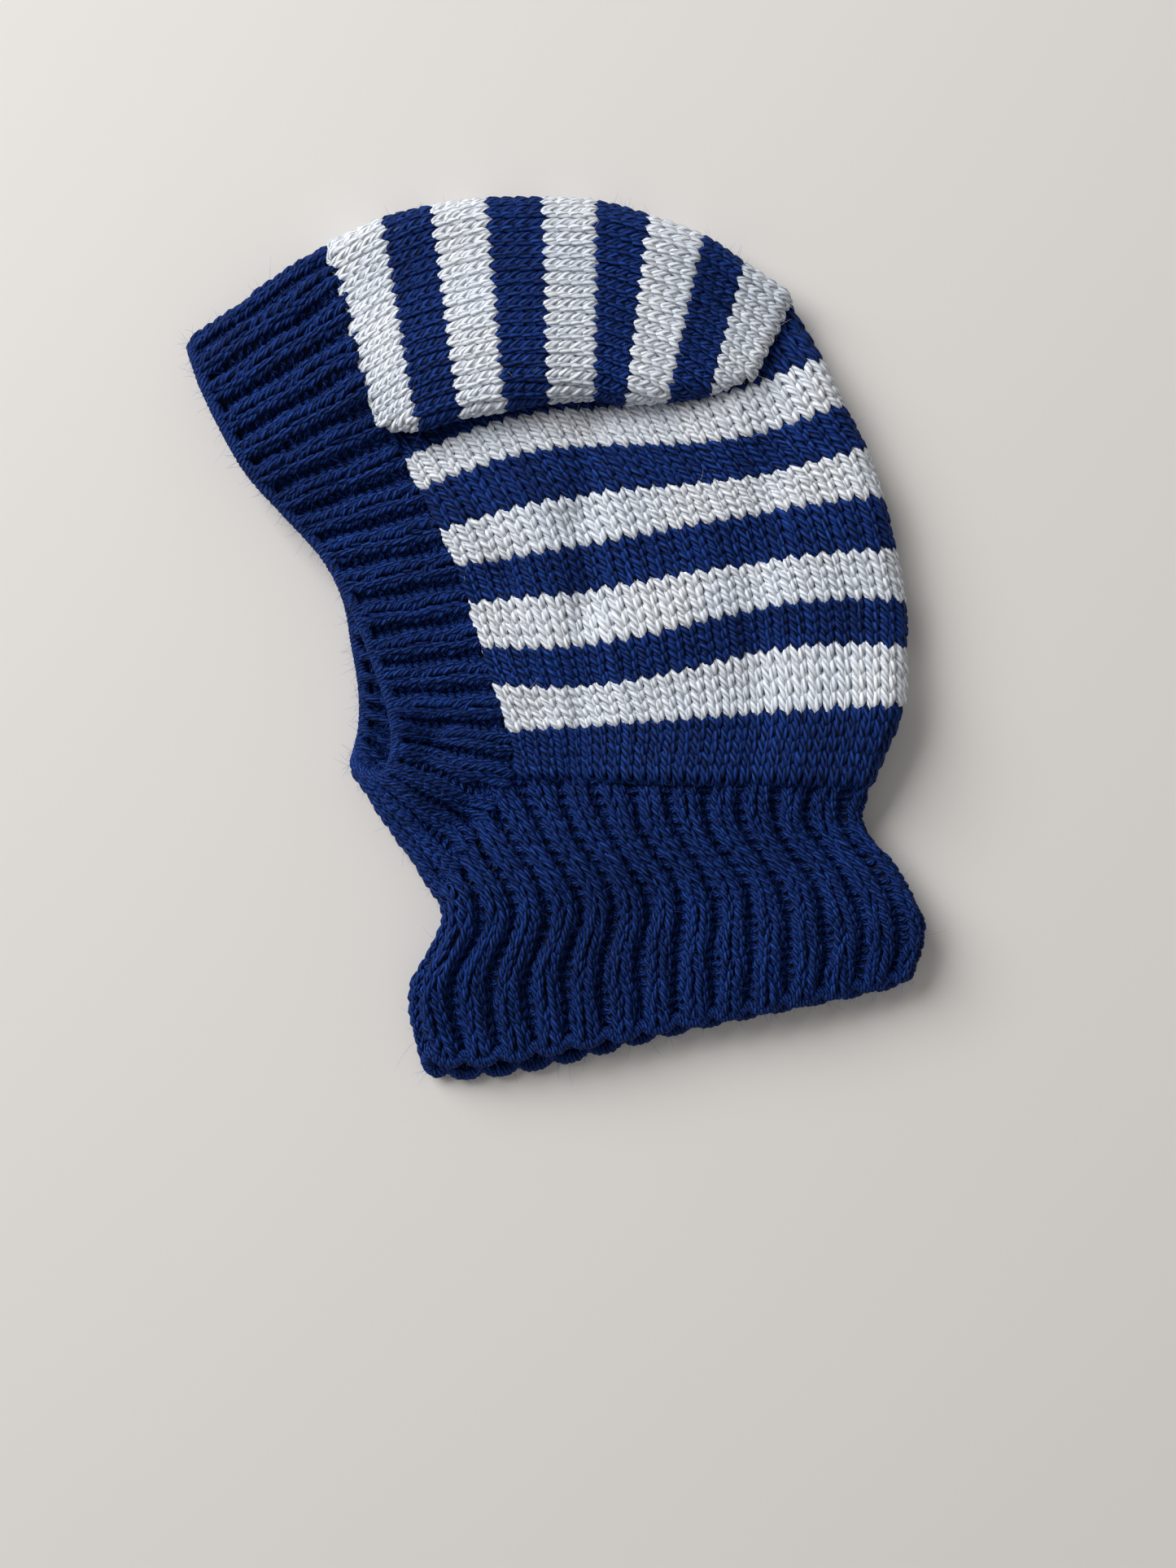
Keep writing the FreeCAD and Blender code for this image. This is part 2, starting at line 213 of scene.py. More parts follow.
def spline(points, place, closed=False):
    """Points on a smooth curve through rows of points; place counts rows, and ends run on straight."""
    points = np.asarray(points, float)
    count = len(points)
    place = np.asarray(place, float)
    if closed:
        whole = np.floor(place).astype(int)
        rest = place - whole
        beyond = np.zeros_like(place)
        ids = [(whole + shift) % count for shift in (-1, 0, 1, 2)]
        corners = [points[i] for i in ids]
    else:
        held = np.clip(place, 0, count - 1)
        beyond = place - held
        whole = np.minimum(held.astype(int), count - 2)
        rest = held - whole
        padded = np.vstack([2 * points[0] - points[1], points, 2 * points[-1] - points[-2]])
        corners = [padded[whole + shift] for shift in range(4)]
    a, b, c, d = corners
    t = rest[:, None]
    curve = 0.5 * (
        2 * b + (c - a) * t + (2 * a - 5 * b + 4 * c - d) * t**2 + (3 * b - a - 3 * c + d) * t**3
    )
    slope = 0.5 * (c - a + 2 * (2 * a - 5 * b + 4 * c - d) * t + 3 * (3 * b - a - 3 * c + d) * t**2)
    return curve + slope * beyond[:, None]


# Three slanting waves: how far apart their crests are along x and along y, over two pi.
LUMP_WAVES = ((0.011, 0.023), (-0.031, 0.013), (0.019, -0.009))
LUMP_HEIGHT = 0.0004


def lumps(x, y):
    """The soft unevenness of hand-knitted fabric that lies loose."""
    return LUMP_HEIGHT * sum(np.sin(x / across + y / up) for across, up in LUMP_WAVES)


def furrow(x, centre, width):
    """A soft furrow across a line, 1 at its middle."""
    return np.exp(-(((x - centre) / width) ** 2))


# Hollows (negative) and rolls (positive) of the throat and the forehead: x, y, size and height.
PUCKERS = mm(
    (-37, -31, 7, -6),
    (-28, -52, 6, -4.5),
    (-44, -47, 6, 1.5),
    (-29, -80, 7, 2.5),
    (-62, 70, 7, 2.2),
    (-72, 92, 8, -2.0),
    (-16, 19, 6, -2.6),
    (9, 9, 6, -1.8),
    (4, 34, 6, -1.5),
    (-6, -22, 6, -1.4),
    (57, 22, 9, -1.6),
    (30, 3, 12, 1.2),
    (-28, 36, 6, 1.2),
)


def puckers(x, y):
    """How far the fabric dips or swells."""
    rise = np.zeros_like(x)
    for middle_x, middle_y, size, height in PUCKERS:
        rise = rise + height * np.exp(-((x - middle_x) ** 2 + (y - middle_y) ** 2) / size**2)
    return rise


def side_fabric(wale, row):
    """The head's side: front edge of the lower layer, round the back fold, to the upper front edge."""
    join = SIDE_STRIPES - row / ROWS_PER_STRIPE
    values = spline(SIDE_JOINS, join)
    front = values[:, 0:2]
    span = values[:, 2:4] - front
    reach = np.linalg.norm(span, axis=1)
    along = span / reach[:, None]
    flat = reach - FOLD_RADIUS - FOLD_INSET
    arc = math.pi * FOLD_RADIUS
    place = wale / SIDE_WALES * (2 * flat + arc)
    turn = np.clip((place - flat) / FOLD_RADIUS, 0, math.pi)
    upper = place > flat + arc / 2
    run = np.where(upper, 2 * flat + arc - place, place)
    run = np.minimum(run, flat) + FOLD_RADIUS * np.sin(turn)
    height = LOWER_LEVEL + FOLD_RADIUS * (1 - np.cos(turn))
    share = run / reach
    wave = values[:, 4] * np.sin(2 * math.pi * share)
    x = front[:, 0] + along[:, 0] * run
    y = front[:, 1] + along[:, 1] * run + wave
    loose = np.sin(turn / 2) ** 2
    rise = SIDE_SWELL * np.sin(math.pi * np.clip(share, 0, 1)) + SIDE_LOOSENESS * lumps(x, y)
    rise += puckers(x, y) - CREASE_DIP * np.clip((row - SIDE_ROWS) / CREASE_ROWS + 1, 0, 1) ** 2
    for depth, width, middle, lean in SIDE_FURROWS:
        rise -= depth * furrow(x, middle + lean * y, width)
    return np.stack([x, y, height + loose * rise], axis=1)


def crown_lower_share(points, inward):
    """How far inward from the outline the crown meets the side on the lower layer."""
    front = SIDE_JOINS[0, 0:2]
    back = SIDE_JOINS[0, 2:4]
    across = np.array([front[1] - back[1], back[0] - front[0]])
    return ((points - front) @ across) / -(inward @ across)


def crown_radii(height):
    """The radii of the crown's outline fold and of the roll along its inner edge."""
    outline = (height * CROWN_OUTER_SHARE - 2 * FOLD_INSET) / 2
    roll = (height - FOLD_INSET - TUCK_LEVEL) / (1 + math.sin(TUCK_ANGLE))
    return outline, np.maximum(roll, LEAST_ROLL)


def crown_fabric(wale, row):
    """The crown: wales count from the outline fold over the top and down, or under it if negative."""
    join = row / ROWS_PER_STRIPE
    values = spline(CROWN_JOINS, join)
    heading = spline(CROWN_HEADINGS[:, None], join)[:, 0]
    reach = values[:, 2]
    height = values[:, 3]
    outer = height * CROWN_OUTER_SHARE
    radius, roll = crown_radii(height)
    quarter = radius * math.pi / 2
    roll_start = reach - FOLD_INSET - roll
    top = roll_start - radius - FOLD_INSET
    place = wale * CROWN_PITCH
    turn = np.clip(np.abs(place) / radius, 0, math.pi / 2)
    flat = np.clip(np.abs(place) - quarter, 0, None)
    inset = FOLD_INSET + radius * (1 - np.cos(turn))
    level = LOWER_LEVEL + radius
    top_run = np.minimum(flat, top)
    climb = (height - outer) * (1 - np.cos(math.pi * top_run / top)) / 2
    roll_end = math.pi / 2 + TUCK_ANGLE
    roll_turn = np.clip((flat - top) / roll, 0, roll_end)
    tucked = np.clip(flat - top - roll * roll_end, 0, None)
    upper_inset = inset + top_run + roll * np.sin(roll_turn) + math.cos(roll_end) * tucked
    upper_level = level + radius * np.sin(turn) + climb - roll * (1 - np.cos(roll_turn))
    upper_level -= TUCK_SLOPE * tucked
    is_upper = place > 0
    inset = np.where(is_upper, upper_inset, inset + flat)
    level = np.where(is_upper, upper_level, level - radius * np.sin(turn))
    x = values[:, 0] - np.cos(heading) * inset
    y = values[:, 1] - np.sin(heading) * inset
    return np.stack([x, y, level + np.where(is_upper, np.sin(turn) * lumps(x, y), 0)], axis=1)


def crown_span(row):
    """The first and last wale of a crown row."""
    join = np.array([row / ROWS_PER_STRIPE])
    values = spline(CROWN_JOINS, join)
    heading = spline(CROWN_HEADINGS[:, None], join)[:, 0]
    inward = -np.stack([np.cos(heading), np.sin(heading)], axis=1)
    reach, height = values[0, 2:4]
    radius, roll = crown_radii(height)
    quarter = radius * (math.pi / 2 - 1)
    over = reach - 2 * FOLD_INSET + quarter + roll * (math.pi / 2 + TUCK_ANGLE - 1)
    under = crown_lower_share(values[:, 0:2], inward)[0] - FOLD_INSET + quarter
    return -int(round(under / CROWN_PITCH)), int(round(over / CROWN_PITCH))


def ring(place, flat, radius):
    """Distance along and level on a flattened ring, counted from its front end round the lower side."""
    arc = math.pi * radius
    whole = 2 * flat + 2 * arc
    place = np.mod(place, whole)
    lower_end = arc / 2 + flat
    back_end = lower_end + arc
    upper_end = back_end + flat
    front_turn = np.clip(place, 0, arc / 2) / radius
    back_turn = np.clip(place - lower_end, 0, arc) / radius
    last_turn = np.clip(place - upper_end, 0, arc / 2) / radius
    lower_run = np.clip(place - arc / 2, 0, flat)
    upper_run = np.clip(place - back_end, 0, flat)
    along = radius * (1 - np.cos(front_turn)) + lower_run + radius * np.sin(back_turn)
    along = np.where(place > upper_end, radius * (1 - np.sin(last_turn)), along - upper_run)
    level = np.where(place < lower_end, radius * (1 - np.sin(front_turn)), radius * (1 - np.cos(back_turn)))
    level = np.where(place > upper_end, radius * (1 + np.cos(last_turn)), level)
    return along, level


def rib_place(wale, repeat, squeeze):
    """The even place of a ribbed wale: knit wales are spread and purl wales drawn together."""
    return wale / repeat + squeeze * np.sin(2 * math.pi * (wale - repeat / 4) / repeat)


def rib_side(wale, repeat, edge):
    """1 on knit wales and -1 on purl wales, smooth between them."""
    return np.tanh(edge * np.cos(2 * math.pi * (wale - repeat / 4) / repeat)) / math.tanh(edge)


def neck_fabric(wale, row):
    """The ribbed neck, a flattened tube counted from its front end round the lower layer."""
    values = spline(NECK_SECTIONS, row / NECK_ROWS * (len(NECK_SECTIONS) - 1))
    front = values[:, 0:2]
    span = values[:, 2:4] - front
    reach = np.linalg.norm(span, axis=1)
    along = span / reach[:, None]
    radius = (values[:, 4] - 2 * RIB_INSET) / 2
    flat = reach - 2 * RIB_INSET - 2 * radius
    share = rib_place(wale, NECK_REPEAT, 0.08) * NECK_REPEAT / NECK_WALES
    run, level = ring(share * (2 * flat + 2 * math.pi * radius), flat, radius)
    run = run + RIB_INSET
    x = front[:, 0] + along[:, 0] * run
    y = front[:, 1] + along[:, 1] * run
    upper = np.clip(level / (2 * radius), 0, 1)
    hem = np.clip(1 - row / HEM_ROWS, 0, 1) ** 2
    showing = HEM_SHOWS + HEM_LOBE * furrow(run, HEM_LOBE_PLACE, HEM_LOBE_WIDTH)
    y = y - hem * (showing * (1 - upper) + HEM_SCALLOP * rib_side(wale, NECK_REPEAT, 1.5))
    y = y + hem * (HEM_FRONT_RISE + HEM_FRONT_EXTRA * upper) * np.exp(-run / HEM_FRONT_LENGTH)
    y = y + hem * HEM_BACK_RISE * np.exp((run - reach) / HEM_BACK_LENGTH)
    z = RIB_INSET + level + upper * (NECK_LOOSENESS * lumps(x, y) + puckers(x, y))
    return np.stack([x, y, z], axis=1)


def neck_span(row):
    """The first and last wale of a neck row, or None where the row closes into a ring."""
    wales = np.arange(NECK_WALES) + 0.5
    places = neck_fabric(wales, np.full(NECK_WALES, row))
    limit = np.interp(places[:, 1], THROAT_Y, THROAT_X, left=-1.0)
    inside = np.nonzero(places[:, 0] > limit)[0]
    if len(inside) == NECK_WALES:
        return None
    return int(inside[0]), int(inside[-1]) + 1


def band_fabric(wale, row):
    """The ribbed band round the face, counted from the forehead fold down the upper layer and back."""
    even = rib_place(wale, BAND_REPEAT, 0.075) * BAND_REPEAT
    values = spline(BAND_RING, even / BAND_WALES * len(BAND_RING), closed=True)
    share = (row / BAND_EDGE_ROW)[:, None]
    places = values[:, 0:3] * (1 - share) + values[:, 3:6] * share
    lifted = np.clip((places[:, 2] - 0.008) / 0.006, 0, 1)
    x, y = places[:, 0], places[:, 1]
    places[:, 2] += lifted * (BAND_LOOSENESS * lumps(x, y) + puckers(x, y))
    return places


# ---------------------------------------------------------------- knitting

# The yarn's thickness in each part, as a share of the knit settings' radius.
SIDE_YARN = 1.07
RIB_YARN = 0.84
CAST_OFF_YARN = 1.3
SEAM_YARN = 0.6
YARN_UNEVENNESS = 0.055
# How long a stitch's legs stay in front before the yarn dips behind: more is longer.
LEG_LENGTH = 1.6
# How far ribs sway to the side, in stitches, and how far each wave turns from one row to the next.
RIB_SWAY = 0.17
RIB_SWAY_TURN = 0.85
RIB_RIPPLE = 0.09
RIB_RIPPLE_TURN = 1.9
# How much fuller the yarn is where a stitch shows in front, and thinner where it dips behind.
YARN_DRAW = 0.1
# How far each fabric's ground lies outside the surface that its yarn winds round, and the columns it
# has for each wale, or across the whole crown.
PLAIN_GROUND = 0.0001
RIB_GROUND = -0.0004
GROUND_COLUMNS = 2
CROWN_COLUMNS = 60


class Rib:
    """How a ribbed fabric differs from a plain one.

    repeat is in wales; ridge and valley are how far they stand out and lie back; edge is how sharply
    one turns into the other; crest and gather are those of the knit settings; fade takes a row and
    says how far the ribs have risen there; waves is how far the sway turns from one wale to the next.
    """

    def __init__(self, repeat, ridge, valley, edge, crest, gather, fade, waves):
        self.repeat = repeat
        self.ridge = ridge
        self.valley = valley
        self.edge = edge
        self.crest = crest
        self.gather = gather
        self.fade = fade
        self.waves = waves

    def side(self, wale):
        return rib_side(wale, self.repeat, self.edge)

    def wander(self, wale, row):
        """How far the ribs sway to the side, in stitches."""
        sway = np.sin(RIB_SWAY_TURN * row + self.waves * wale)
        ripple = np.sin(RIB_RIPPLE_TURN * row - 2 * self.waves * wale)
        return RIB_SWAY * sway + RIB_RIPPLE * ripple

    def relief(self, wale, row):
        side = self.side(wale)
        return self.fade(row) * np.where(side > 0, side * self.ridge, side * self.valley)


def neck_fade(row):
    """The neck's ribs rise out of the plain knitting above them."""
    return np.clip((NECK_ROWS - row) / 3.5, 0.15, 1)


def band_fade(row):
    """The band's ribs rise from the line they are picked up along."""
    return np.clip(0.35 + row / 3, 0.35, 1)


NECK_RIB = Rib(
    repeat=NECK_REPEAT, ridge=0.0010, valley=0.0029, edge=2.2, crest=0.0012, gather=0.075,
    fade=neck_fade, waves=2 * math.pi * 12 / NECK_WALES,
)
BAND_RIB = Rib(
    repeat=BAND_REPEAT, ridge=0.0009, valley=0.0029, edge=2.2, crest=0.0012, gather=0.075,
    fade=band_fade, waves=2 * math.pi * 17 / BAND_WALES,
)


NORMAL_STEP = 0.05
LEAST_LENGTH = 1e-12


def outward(fabric, wale, row, facing):
    """Unit normals of a fabric, on the side that facing picks."""
    across = fabric(wale + NORMAL_STEP, row) - fabric(wale - NORMAL_STEP, row)
    up = fabric(wale, row + NORMAL_STEP) - fabric(wale, row - NORMAL_STEP)
    normal = np.cross(across, up)
    return facing * normal / np.maximum(np.linalg.norm(normal, axis=1), LEAST_LENGTH)[:, None]


class Course:
    """One row of stitches as a line of yarn."""

    def __init__(self, points, radii, stitches, closed):
        self.points = points
        self.radii = radii
        self.stitches = stitches
        self.closed = closed


def knit_row(knit, fabric, facing, row, first, last, closed, rib, chance):
    """The yarn of one row of stitches between two wales."""
    stitches = last - first
    steps = knit.steps * stitches
    wale = np.linspace(first, last, steps + (0 if closed else 1), endpoint=not closed)
    turn = 2 * math.pi * (wale - 0.5)
    swing = knit.swing * np.sin(2 * turn)
    rise = knit.rise * np.cos(turn)
    side = np.ones_like(wale) if rib is None else rib.side(wale)
    relief = np.zeros_like(wale) if rib is None else rib.relief(wale, row)
    knots = chance.normal(0, knit.unevenness, (3, stitches + 1))
    knots[:, -1] = knots[:, 0]
    marks = np.arange(first, last + 1)
    swing = swing + np.interp(wale, marks, knots[0])
    rise = rise * (1 + np.interp(wale, marks, knots[1])) + 0.5 * np.interp(wale, marks, knots[2])
    gather = knit.gather if rib is None else rib.gather
    place = wale + swing + (0 if rib is None else rib.wander(wale, row))
    place = place + gather * np.sin(2 * math.pi * place)
    wide = np.abs(np.mod(place, 1) - 0.5) * 2
    facing_depth = np.tanh(LEG_LENGTH * np.cos(2 * turn)) / math.tanh(LEG_LENGTH)
    crest = knit.crest if rib is None else rib.crest
    depth = relief - side * (knit.depth * facing_depth + crest * (wide - 0.5))
    rows = np.full_like(wale, row) + rise
    points = fabric(place, rows)
    points = points + outward(fabric, place, rows, facing) * depth[:, None]
    radii = 1 - YARN_DRAW * side * np.cos(2 * turn) + chance.normal(0, YARN_UNEVENNESS, len(wale))
    return Course(points, radii, stitches, closed)


def yarn_piece(name, courses, radius, material, sides=1):
    """Rounds lines of yarn into one mesh whose UV map counts stitches along and turns around."""
    curve = bpy.data.curves.new(name, "CURVE")
    curve.dimensions = "3D"
    curve.bevel_depth = radius
    curve.bevel_resolution = sides
    for course in courses:
        line = curve.splines.new("POLY")
        line.points.add(len(course.points) - 1)
        places = np.ones((len(course.points), 4))
        places[:, 0:3] = course.points
        places[:, 2] = np.maximum(places[:, 2], radius)
        line.points.foreach_set("co", places.ravel())
        line.points.foreach_set("radius", course.radii)
        line.use_cyclic_u = course.closed
    drawn = bpy.data.objects.new(name, curve)
    bpy.context.scene.collection.objects.link(drawn)
    evaluated = drawn.evaluated_get(bpy.context.evaluated_depsgraph_get())
    mesh = bpy.data.meshes.new_from_object(evaluated)
    bpy.data.objects.remove(drawn)
    bpy.data.curves.remove(curve)
    around = 2 * (sides + 2)
    stitches = []
    for course in courses:
        segments = len(course.points) - (0 if course.closed else 1)
        stitches.append(np.full(segments * around * 4, course.stitches, float))
    layer = mesh.uv_layers[0].data
    values = np.zeros(len(mesh.loops) * 2)
    layer.foreach_get("uv", values)
    values[0::2] *= np.concatenate(stitches)
    layer.foreach_set("uv", values)
    mesh.name = name
    mesh.materials.clear()
    mesh.materials.append(material)
    piece = bpy.data.objects.new(name, mesh)
    bpy.context.scene.collection.objects.link(piece)
    return piece


def ground_piece(name, fabric, facing, across, spans, depth, rib, materials):
    """The fabric's ground behind its yarn: one thin sheet, from the first to the last wale of each row,
    whose materials paint the shade seen between the stitches.

    spans has those two wales for the start of every row and for the end of the last one.
    """
    mesh = bpy.data.meshes.new(name)
    shape = bmesh.new()
    up = len(spans) - 1
    bmesh.ops.create_grid(shape, x_segments=across, y_segments=up, size=1)
    grid = np.array([v.co for v in shape.verts])
    column = np.round((grid[:, 0] + 1) / 2 * across)
    row = np.round((grid[:, 1] + 1) / 2 * up)
    first, last = np.array(spans, float)[row.astype(int)].T
    wale = first + (last - first) * column / across
    relief = 0 if rib is None else rib.relief(wale, row)
    points = fabric(wale, row) + outward(fabric, wale, row, facing) * np.reshape(relief + depth, (-1, 1))
    for vert, point in zip(shape.verts, points):
        vert.co = point
    bmesh.ops.remove_doubles(shape, verts=shape.verts, dist=1e-5)
    bmesh.ops.recalc_face_normals(shape, faces=shape.faces)
    shape.to_mesh(mesh)
    shape.free()
    mesh.shade_smooth()
    for material in materials:
        mesh.materials.append(material)
    piece = bpy.data.objects.new(name, mesh)
    bpy.context.scene.collection.objects.link(piece)
    return piece


# ---------------------------------------------------------------- materials


class Value:
    """A shader value; arithmetic on it adds the Math nodes."""

    def __init__(self, shader, socket):
        self.shader = shader
        self.socket = socket

    def out(self, place):
        return Value(self.shader, self.socket.node.outputs[place])

    def math(self, operation, first, second=0.0):
        return self.shader.node("Math", {"operation": operation}, {0: first, 1: second})

    def __add__(self, other):
        return self.math("ADD", self, other)

    __radd__ = __add__

    def __sub__(self, other):
        return self.math("SUBTRACT", self, other)

    def __rsub__(self, other):
        return self.math("SUBTRACT", other, self)

    def __mul__(self, other):
        return self.math("MULTIPLY", self, other)

    __rmul__ = __mul__


class Shader:
    """A material under construction."""

    def __init__(self, name):
        self.material = bpy.data.materials.new(name)
        self.material.use_nodes = True
        self.tree = self.material.node_tree
        self.tree.nodes.clear()

    def node(self, kind, settings=None, inputs=None):
        node = self.tree.nodes.new("ShaderNode" + kind)
        for setting, value in (settings or {}).items():
            setattr(node, setting, value)
        for place, value in (inputs or {}).items():
            socket = node.inputs[place]
            if isinstance(value, Value):
                self.tree.links.new(value.socket, socket)
            else:
                socket.default_value = value
        return Value(self, node.outputs[0])

    def surface(self, shader):
        output = self.tree.nodes.new("ShaderNodeOutputMaterial")
        self.tree.links.new(shader.socket, output.inputs["Surface"])
        return self.material


# The sockets of a Mix node that is set to colour.
MIX_FACTOR, MIX_FIRST, MIX_SECOND, MIX_RESULT = 0, 6, 7, 2


def mix(shader, factor, first, second):
    """A colour between two others."""
    inputs = {MIX_FACTOR: factor, MIX_FIRST: first, MIX_SECOND: second}
    mixed = shader.node("Mix", {"data_type": "RGBA", "clamp_factor": True}, inputs)
    return mixed.out(MIX_RESULT)


def shaded(colour, factor):
    """The colour made darker, or lighter if the factor is over 1."""
    return tuple(c * factor for c in colour[:3]) + (1.0,)


# How often the plies cross a stitch's length of yarn, and how many strands lie round it.
PLY_TURNS = 9.0
PLY_STRANDS = 4.0
PLY_BUMP = 0.00040


def yarn_material(name, colour, other, painted_shade, light, lightest):
    """Plied yarn: its strands wind round each other, with fine fibres and slight changes of tone. The
    grooves between the plies are darkened with painted shade, and the strands' crests are lightened with a
    painted highlight.
    """
    shader = Shader(name)
    place = shader.node("UVMap")
    split = shader.node("SeparateXYZ", None, {0: place})
    along = split.out("X")
    around = split.out("Y")
    winding = along * PLY_TURNS + around * PLY_STRANDS
    ply = shader.node("Math", {"operation": "SINE"}, {0: winding * math.pi})
    ply = shader.node("Math", {"operation": "ABSOLUTE"}, {0: ply})
    fibre_place = shader.node("CombineXYZ", None, {0: winding * 2.5, 1: along * 3.0, 2: around * 1.5})
    grain = {"Vector": fibre_place, "Scale": 1.0, "Detail": 3.0, "Roughness": 0.7}
    fibres = shader.node("TexNoise", None, grain)
    where = shader.node("TexCoord").out("Object")
    patches = shader.node("TexNoise", None, {"Vector": where, "Scale": 38.0, "Detail": 2.0})
    contrast = (patches - 0.5) * 3.0 + 0.4
    patches = shader.node("Math", {"operation": "SMOOTH_MIN"}, {0: contrast, 1: 1.0, 2: 0.2})
    base = mix(shader, patches, colour, other)
    lightness = ply * 0.8 + (fibres - 0.5) * 2.4 + lightest
    # Painted shade: the grooves between the plies and the dips of the fibre noise are darkened.
    tone = mix(shader, lightness, painted_shade, base)
    # Painted highlight: the brightest crests of the strands are lightened towards the highlight colour.
    tone = mix(shader, (lightness - 0.8) * 1.1, tone, light)
    height = ply * 0.75 + fibres * 0.6
    bump = shader.node("Bump", None, {"Strength": 1.0, "Distance": PLY_BUMP, "Height": height})
    finish = {
        "Base Color": tone,
        "Roughness": 0.62 + fibres * 0.2,
        "Normal": bump,
        "Sheen Weight": 0.12,
        "Sheen Roughness": 0.5,
        "Sheen Tint": colour,
        "Specular IOR Level": 0.12,
    }
    return shader.surface(shader.node("BsdfPrincipled", None, finish))


def ground_shade_material(name, colour, painted_shade):
    """The fabric's ground between the stitches, coloured with painted shade."""
    shader = Shader(name)
    where = shader.node("TexCoord").out("Object")
    grain = shader.node("TexNoise", None, {"Vector": where, "Scale": 900.0, "Detail": 3.0})
    tone = mix(shader, grain, painted_shade, colour)
    bump = shader.node("Bump", None, {"Strength": 0.7, "Distance": 0.0003, "Height": grain})
    principled = shader.node("BsdfPrincipled", None, {"Base Color": tone, "Roughness": 0.9, "Normal": bump})
    return shader.surface(principled)


def fuzz_material(name, colour):
    """Loose fibres that stand off the yarn."""
    shader = Shader(name)
    where = shader.node("TexCoord").out("Object")
    grain = shader.node("TexNoise", None, {"Vector": where, "Scale": 120.0})
    tone = mix(shader, grain, shaded(colour, 0.7), colour)
    principled = shader.node("BsdfPrincipled", None, {"Base Color": tone, "Roughness": 0.7})
    return shader.surface(principled)


def floor_material(colour, shade):
    """A pale matt board."""
    shader = Shader("pale_board")
    where = shader.node("TexCoord").out("Object")
    cloud = shader.node("TexNoise", None, {"Vector": where, "Scale": 3.0, "Detail": 4.0})
    tone = mix(shader, cloud, shade, colour)
    grain = shader.node("TexNoise", None, {"Vector": where, "Scale": 700.0})
    bump = shader.node("Bump", None, {"Strength": 0.05, "Distance": 0.0002, "Height": grain})
    finish = {"Base Color": tone, "Roughness": 0.6, "Normal": bump, "Specular IOR Level": 0.2}
    return shader.surface(shader.node("BsdfPrincipled", None, finish))


# ---------------------------------------------------------------- settings


class KnitSettings(bpy.types.PropertyGroup):
    """How the yarn is knitted."""

    radius: FloatProperty(
        name="Yarn radius", description="Half the yarn's thickness", default=0.00110, unit="LENGTH"
    )
    swing: FloatProperty(
        name="Swing", description="How far a loop's neck draws in, in stitches", default=0.22
    )
    rise: FloatProperty(name="Rise", description="Half a loop's height, in rows", default=0.94)
    depth: FloatProperty(
        name="Depth", description="How far a loop's legs stand out", default=0.00090, unit="LENGTH"
    )
    crest: FloatProperty(
        name="Crest", description="How far a wale's middle stands out from its sides", default=0.0008,
        unit="LENGTH",
    )
    gather: FloatProperty(
        name="Gather", description="How far a wale's legs draw together, in stitches", default=0.04
    )
    unevenness: FloatProperty(
        name="Unevenness", description="Spread of the stitches, in stitches", default=0.05
    )
    steps: IntProperty(name="Steps", description="Points in each stitch", default=15, min=8)
    seed: IntProperty(name="Seed", description="Start of the random draws", default=7)


class YarnColours(bpy.types.PropertyGroup):
    """Colours of the two yarns."""

    blue: FloatVectorProperty(
        name="Blue", description="Royal blue yarn", subtype="COLOR", size=4, default=(0.011, 0.055, 0.31, 1)
    )
    white: FloatVectorProperty(
        name="White", description="White yarn", subtype="COLOR", size=4, default=(0.90, 0.93, 0.98, 1)
    )
    pale: FloatVectorProperty(
        name="Pale blue", description="The white yarn's pale blue lengths", subtype="COLOR", size=4,
        default=(0.78, 0.85, 0.96, 1),
    )


class StageSettings(bpy.types.PropertyGroup):
    """Light, floor and camera."""

    key_power: FloatProperty(
        name="Key power", description="Strength of the window light", default=58.0, unit="POWER"
    )
    sky: FloatProperty(name="Sky", description="Strength of the light from all round", default=0.28)
    floor: FloatVectorProperty(
        name="Floor", description="Colour of the board", subtype="COLOR", size=4,
        default=(0.80, 0.775, 0.745, 1),
    )
    camera_distance: FloatProperty(
        name="Camera distance", description="Camera height above the floor", default=0.635, unit="LENGTH"
    )


def materials():
    """The yarn and ground materials, made once."""
    colours = bpy.context.scene.balaclava_colours
    if "blue_wool" not in bpy.data.materials:
        blue = tuple(colours.blue)
        white = tuple(colours.white)
        pale = tuple(colours.pale)
        # Each yarn gets a darker colour that paints the shade in its ply grooves, a lighter colour that
        # paints the highlights on its strands' crests, and a shift of how much of each shows.
        blue_painted_highlight = (0.045, 0.125, 0.42, 1)
        yarn_material("blue_wool", blue, shaded(blue, 0.7), shaded(blue, 0.03), blue_painted_highlight, -0.08)
        yarn_material("white_wool", white, pale, shaded(pale, 0.45), (1, 1, 1, 1), 0.20)
        yarn_material("pale_wool", pale, white, shaded(pale, 0.40), (0.98, 0.99, 1, 1), 0.10)
        # The ground sheets are painted shade: a nearly black blue and a grey blue, for the gaps between
        # stitches that lie in shadow.
        ground_shade_material("blue_ground", shaded(blue, 0.10), shaded(blue, 0.03))
        ground_shade_material("white_ground", shaded(pale, 0.62), shaded(pale, 0.42))
        # The blue fuzz is painted lighter than its yarn: a painted sheen where loose fibres catch the
        # light.
        fuzz_material("blue_fuzz", shaded(blue, 1.6))
        fuzz_material("white_fuzz", white)
    return bpy.data.materials


def random_for(piece):
    """Seeded draws that belong to one piece."""
    return np.random.default_rng([bpy.context.scene.balaclava_knit.seed, sum(piece.encode())])


def bends(piece):
    """The piece crosses from the head to the neck; its transform is baked into its mesh, and it rides on no
    body.
    """
    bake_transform(piece)


def stripe_colours(count, first):
    """The stripes' colours in order, with each one's number within its colour."""
    other = {"blue": "white", "white": "blue"}
    colour = first
    numbers = {"blue": 0, "white": 0}
    for _ in range(count):
        numbers[colour] += 1
        yield colour, numbers[colour]
        colour = other[colour]


# ---------------------------------------------------------------- pieces


